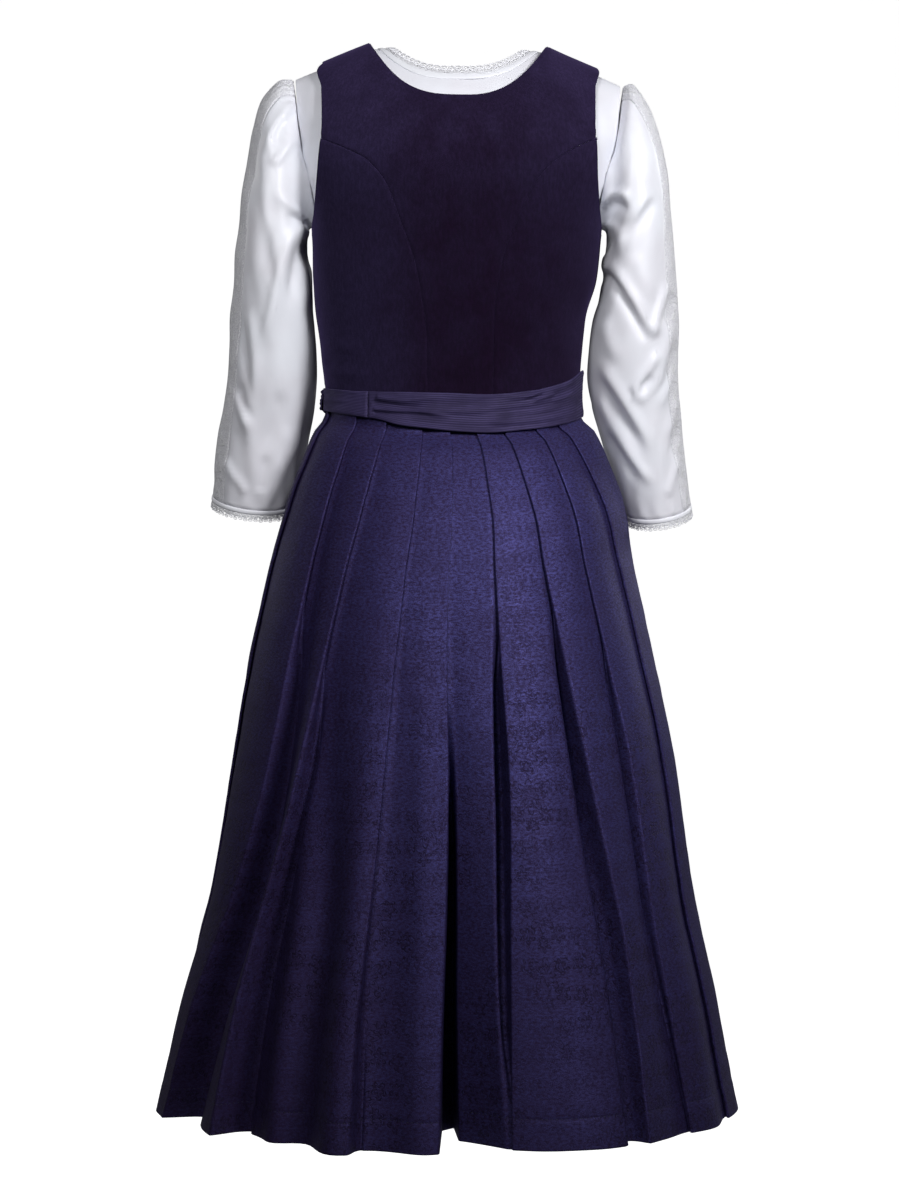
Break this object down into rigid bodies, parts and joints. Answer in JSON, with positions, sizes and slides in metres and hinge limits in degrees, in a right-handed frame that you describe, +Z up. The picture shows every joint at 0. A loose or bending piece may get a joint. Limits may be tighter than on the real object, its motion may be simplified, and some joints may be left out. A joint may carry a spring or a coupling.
{
  "type": "dirndl set of bodice, skirt, blouse and apron",
  "caption": "Midi dirndl set on an empty figure: sleeveless velvet bodice, pleated jacquard skirt, ribbed apron with a tied band, and a white blouse with lace.",
  "frame": {"origin": "middle of the shoulders, between the neck ends of the shoulder seams, where the wearer holds the set up", "axes": "+Z up, +Y towards the wearer's front, +X towards the wearer's right hand; the back faces -Y"},
  "size_m": [0.6436, 0.5402, 1.187],
  "materials": {
    "velvet": "deep aubergine velvet",
    "cotton": "white satin-faced cotton",
    "lace": "white cotton lace",
    "jacquard": "navy tone-on-tone damask",
    "apron_cloth": "finely ribbed dusk violet satin",
    "button": "cloth-covered dome"
  },
  "bodies": {
    "root": {"bodice_back_centre": "velvet", "bodice_back_side_left": "velvet", "bodice_back_side_right": "velvet", "bodice_front_left": "velvet", "bodice_front_side_left": "velvet", "bodice_front_right": "velvet", "bodice_front_side_right": "velvet", "blouse_back": "cotton", "blouse_front": "cotton", "neck_binding": "cotton", "neck_lace": "lace", "sleeve_left": "cotton", "sleeve_insertion_left": "lace", "cuff_binding_left": "cotton", "cuff_lace_left": "lace", "sleeve_right": "cotton", "sleeve_insertion_right": "lace", "cuff_binding_right": "cotton", "cuff_lace_right": "lace", "skirt_back": "jacquard", "skirt_front": "jacquard", "apron_panel": "apron_cloth", "apron_waistband": "apron_cloth", "apron_tie_long": "apron_cloth", "apron_tie_short": "apron_cloth", "bow_knot": "apron_cloth", "bow_loop_right": "apron_cloth", "bow_loop_left": "apron_cloth", "bow_tail_right": "apron_cloth", "bow_tail_left": "apron_cloth", "button_1": "button", "button_2": "button", "button_3": "button", "button_4": "button", "button_5": "button", "button_6": "button", "button_7": "button"}
  },
  "joints": []
}
